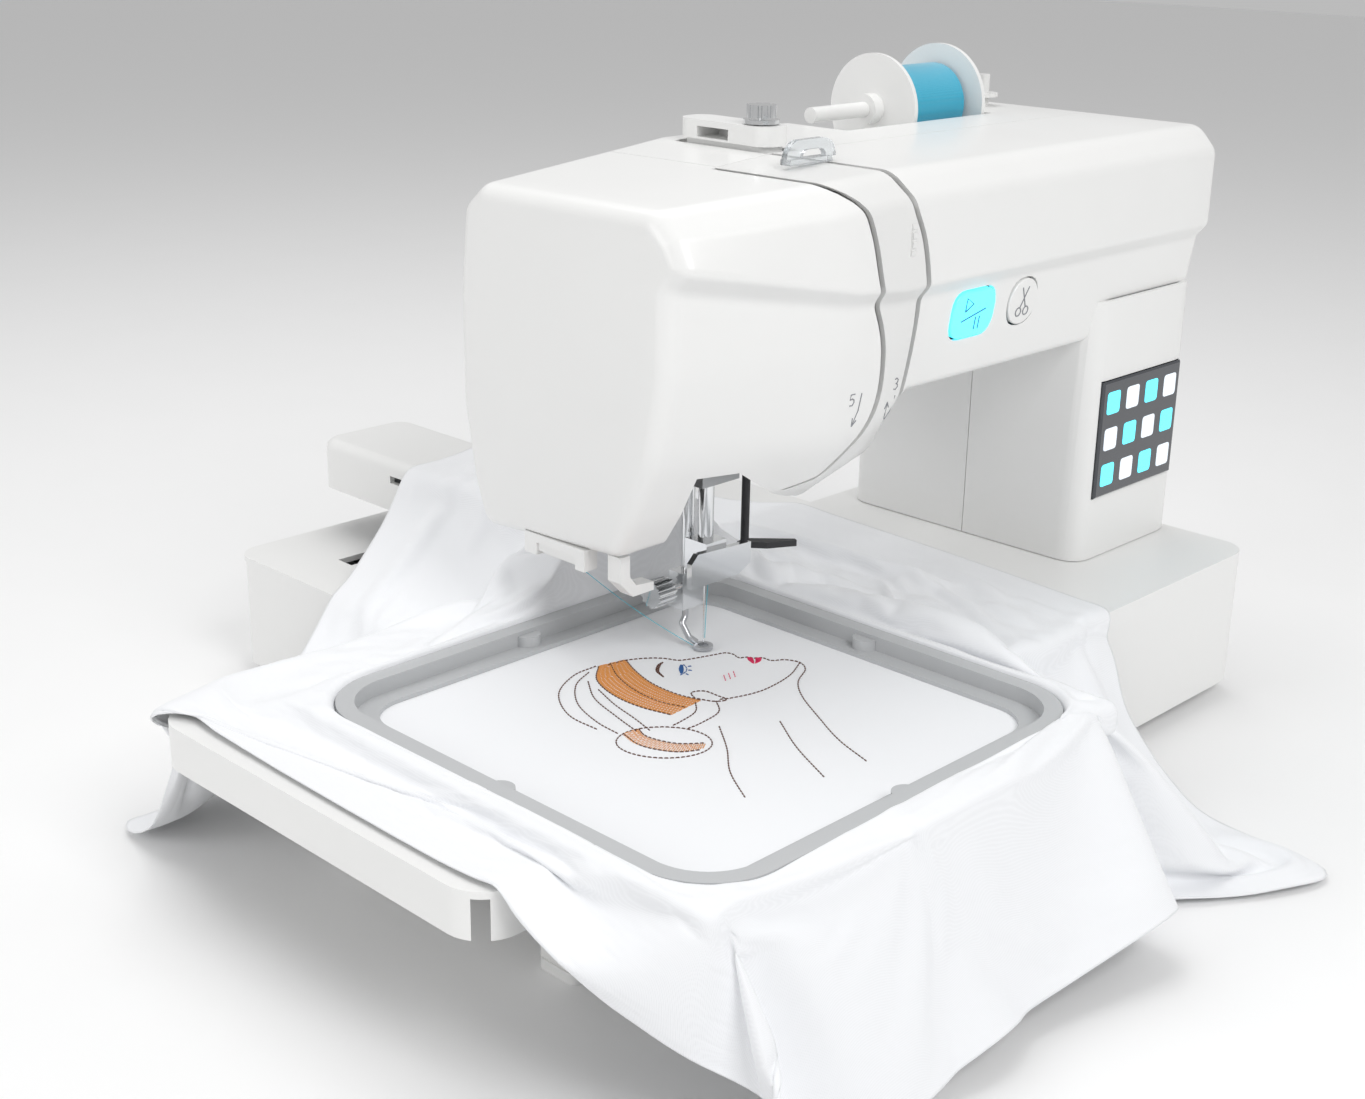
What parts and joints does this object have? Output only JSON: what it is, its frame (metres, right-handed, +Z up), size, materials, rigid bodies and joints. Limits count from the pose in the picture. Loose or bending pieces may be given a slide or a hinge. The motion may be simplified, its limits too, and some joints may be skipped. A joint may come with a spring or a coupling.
{
  "type": "embroidery machine",
  "caption": "Free-arm embroidery machine with a moving embroidery arm, square hoop, draped cloth, needle and foot group, thread path, spool stand and inner drive.",
  "frame": {"origin": "table top straight under the needle", "axes": "+X to the operator's right along the arm, +Y to the back, +Z up"},
  "size_m": [0.585, 0.5398, 0.34],
  "materials": {
    "white_cover": "satin moulded plastic",
    "grey_strip": "satin moulded plastic",
    "hoop_grey": "fine matte grain",
    "dark_plastic": "matte",
    "rubber_feet": "matte",
    "belt_rubber": "matte",
    "cast_alloy": "cast",
    "ground_steel": "ground",
    "bright_steel": "polished",
    "cyan_lens": "lit translucent button",
    "screen_glass": "dark glass",
    "clear_plastic": "clear moulded plastic",
    "thread_teal": "wound sewing thread",
    "bobbin_clear": "clear plastic",
    "cotton": "plain woven white cotton",
    "motor_paint": "satin paint"
  },
  "bodies": {
    "frame": {"base_shell": "white_cover", "bed_cover": "white_cover", "deck_cover": "white_cover", "rubber_feet": "rubber_feet", "extension_table": "white_cover", "frame_casting": "cast_alloy", "face_cover": "white_cover", "thread_strip": "grey_strip", "arm_front_cover": "white_cover", "arm_rear_cover": "white_cover", "touch_screen": "screen_glass", "mains_inlet": "dark_plastic", "needle_plate": "bright_steel", "bobbin_case": "dark_plastic", "drive_belts": "belt_rubber", "main_motor": "motor_paint", "thread_cutter": "white_cover", "thread_hook": "white_cover", "clear_thread_guide": "clear_plastic", "spool_pin": "white_cover", "spool_cap_rear": "white_cover", "x_guide_rods": "ground_steel"},
    "table_leg": {"table_leg": "white_cover"},
    "carrying_handle": {"carrying_handle": "white_cover"},
    "start_stop_button": {"start_stop_button": "cyan_lens"},
    "thread_cut_button": {"thread_cut_button": "white_cover"},
    "power_switch": {"power_switch": "dark_plastic"},
    "bobbin_cover": {"bobbin_cover": "clear_plastic"},
    "bobbin": {"bobbin": "bobbin_clear"},
    "hook_race": {"hook_race": "dark_plastic"},
    "drive_shaft": {"upper_shaft": "ground_steel", "handwheel": "white_cover"},
    "lower_shaft": {"lower_shaft": "ground_steel"},
    "motor_pulley": {"motor_pulley": "ground_steel"},
    "needle_bar": {"needle_bar": "bright_steel", "needle_clamp": "bright_steel", "needle": "bright_steel"},
    "needle_clamp_screw": {"needle_clamp_screw": "bright_steel"},
    "take_up_lever": {"take_up_lever": "bright_steel"},
    "presser_bar": {"presser_bar": "bright_steel", "foot_holder": "bright_steel", "embroidery_foot": "ground_steel"},
    "foot_thumbscrew": {"foot_thumbscrew": "bright_steel"},
    "presser_lifter": {"presser_lifter": "dark_plastic"},
    "needle_threader": {"needle_threader": "dark_plastic"},
    "tension_dial": {"tension_dial": "grey_strip"},
    "upper_thread_guide": {"upper_thread_guide": "white_cover", "pretension_disc": "bright_steel"},
    "spool_cap_front": {"spool_cap_front": "white_cover"},
    "thread_spool": {"thread_spool": "thread_teal"},
    "bobbin_winder": {"bobbin_winder": "grey_strip"},
    "x_carriage": {"x_carriage": "ground_steel"},
    "embroidery_arm": {"embroidery_arm_cover": "white_cover", "embroidery_arm_plate": "ground_steel", "y_guide_rods": "ground_steel", "hoop_outer": "hoop_grey", "hoop_inner": "hoop_grey", "fabric": "cotton"},
    "hoop_knob": {"hoop_knob": "white_cover"},
    "hoop_screw": {"hoop_screw": "bright_steel"}
  },
  "joints": [
    {"name": "x_slide", "type": "slide", "parent": "frame", "child": "x_carriage", "axis": [1, 0, 0], "range_m": [-0.035, 0.153], "deforming": ["fabric"]},
    {"name": "y_slide", "type": "slide", "parent": "x_carriage", "child": "embroidery_arm", "axis": [0, 1, 0], "range_m": [-0.039, 0.149], "deforming": ["fabric"]},
    {"name": "hoop_knob_turn", "type": "hinge", "parent": "embroidery_arm", "child": "hoop_knob", "pos_m": [-0.02, 0.09, 0.083], "axis": [0, 0, 1], "range_deg": [-90, 360]},
    {"name": "hoop_screw_turn", "type": "hinge", "parent": "embroidery_arm", "child": "hoop_screw", "pos_m": [-0.0577, -0.1833, 0.088], "axis": [1, 0, 0], "range_deg": [-90, 360]},
    {"name": "needle_bar_slide", "type": "slide", "parent": "frame", "child": "needle_bar", "axis": [0, 0, 1], "range_m": [-0.018, 0.017]},
    {"name": "take_up_swing", "type": "hinge", "parent": "frame", "child": "take_up_lever", "pos_m": [0.046, 0.012, 0.259], "axis": [1, 0, 0], "range_deg": [-20, 20]},
    {"name": "needle_clamp_screw_turn", "type": "hinge", "parent": "needle_bar", "child": "needle_clamp_screw", "pos_m": [0.01, 0, 0.126], "axis": [1, 0, 0], "range_deg": [-180, 180]},
    {"name": "presser_lifter_swing", "type": "hinge", "parent": "frame", "child": "presser_lifter", "pos_m": [0, 0.036, 0.159], "axis": [1, 0, 0], "range_deg": [0, 40]},
    {"name": "presser_bar_slide", "type": "slide", "parent": "frame", "child": "presser_bar", "axis": [0, 0, 1], "range_m": [0, 0.007]},
    {"name": "foot_thumbscrew_turn", "type": "hinge", "parent": "presser_bar", "child": "foot_thumbscrew", "pos_m": [-0.01, 0.011, 0.114], "axis": [1, 0, 0], "range_deg": [-180, 180]},
    {"name": "needle_threader_slide", "type": "slide", "parent": "frame", "child": "needle_threader", "axis": [0, 0, 1], "range_m": [-0.03, 0]},
    {"name": "handwheel_turn", "type": "hinge", "parent": "frame", "child": "drive_shaft", "pos_m": [0.1, 0.041, 0.266], "axis": [1, 0, 0], "continuous": true},
    {"name": "lower_shaft_turn", "type": "hinge", "parent": "frame", "child": "lower_shaft", "pos_m": [0.1, -0.002, 0.046], "axis": [1, 0, 0], "continuous": true},
    {"name": "hook_turn", "type": "hinge", "parent": "frame", "child": "hook_race", "pos_m": [0, -0.018, 0.068], "axis": [0, 0, 1], "continuous": true},
    {"name": "motor_turn", "type": "hinge", "parent": "frame", "child": "motor_pulley", "pos_m": [0.3, -0.014, 0.153], "axis": [1, 0, 0], "continuous": true},
    {"name": "bobbin_spin", "type": "hinge", "parent": "frame", "child": "bobbin", "pos_m": [0, -0.018, 0.073], "axis": [0, 0, 1], "continuous": true},
    {"name": "bobbin_cover_lift", "type": "slide", "parent": "frame", "child": "bobbin_cover", "axis": [0, 0, 1], "range_m": [0, 0.02], "deforming": ["fabric"]},
    {"name": "start_stop_press", "type": "slide", "parent": "frame", "child": "start_stop_button", "axis": [0, 0.9886, 0.1504], "range_m": [0, 0.0011], "stiffness_N_per_m": 600},
    {"name": "thread_cut_press", "type": "slide", "parent": "frame", "child": "thread_cut_button", "axis": [0, 0.9886, 0.1504], "range_m": [0, 0.0011], "stiffness_N_per_m": 600},
    {"name": "power_switch_rock", "type": "hinge", "parent": "frame", "child": "power_switch", "pos_m": [0.317, 0.057, 0.041], "axis": [0, 1, 0], "range_deg": [0, 12]},
    {"name": "carrying_handle_swing", "type": "hinge", "parent": "frame", "child": "carrying_handle", "pos_m": [0.185, 0.114, 0.255], "axis": [1, 0, 0], "range_deg": [0, 180]},
    {"name": "table_leg_fold", "type": "hinge", "parent": "frame", "child": "table_leg", "pos_m": [-0.14, 0.004, 0.071], "axis": [0, 1, 0], "range_deg": [0, 90]},
    {"name": "tension_dial_turn", "type": "hinge", "parent": "frame", "child": "tension_dial", "pos_m": [0.064, -0.036, 0.276], "axis": [1, 0, 0], "range_deg": [-120, 120]},
    {"name": "upper_thread_guide_slide", "type": "slide", "parent": "frame", "child": "upper_thread_guide", "axis": [0, 0, 1], "range_m": [-0.009, 0]},
    {"name": "spool_cap_slide", "type": "slide", "parent": "frame", "child": "spool_cap_front", "axis": [1, 0, 0], "range_m": [-0.045, 0]},
    {"name": "spool_spin", "type": "hinge", "parent": "frame", "child": "thread_spool", "pos_m": [0.236, 0.082, 0.309], "axis": [1, 0, 0], "continuous": true},
    {"name": "bobbin_winder_spin", "type": "hinge", "parent": "frame", "child": "bobbin_winder", "pos_m": [0.299, 0.076, 0.303], "axis": [0, 0, 1], "continuous": true}
  ],
  "couplings": [
    {"joint": "take_up_swing", "follows": "needle_bar_slide", "rad_per_m": -19},
    {"joint": "presser_lifter_swing", "follows": "presser_bar_slide", "rad_per_m": 98.3},
    {"joint": "lower_shaft_turn", "follows": "handwheel_turn", "ratio": 1},
    {"joint": "hook_turn", "follows": "handwheel_turn", "ratio": 2},
    {"joint": "motor_turn", "follows": "handwheel_turn", "ratio": 3}
  ]
}
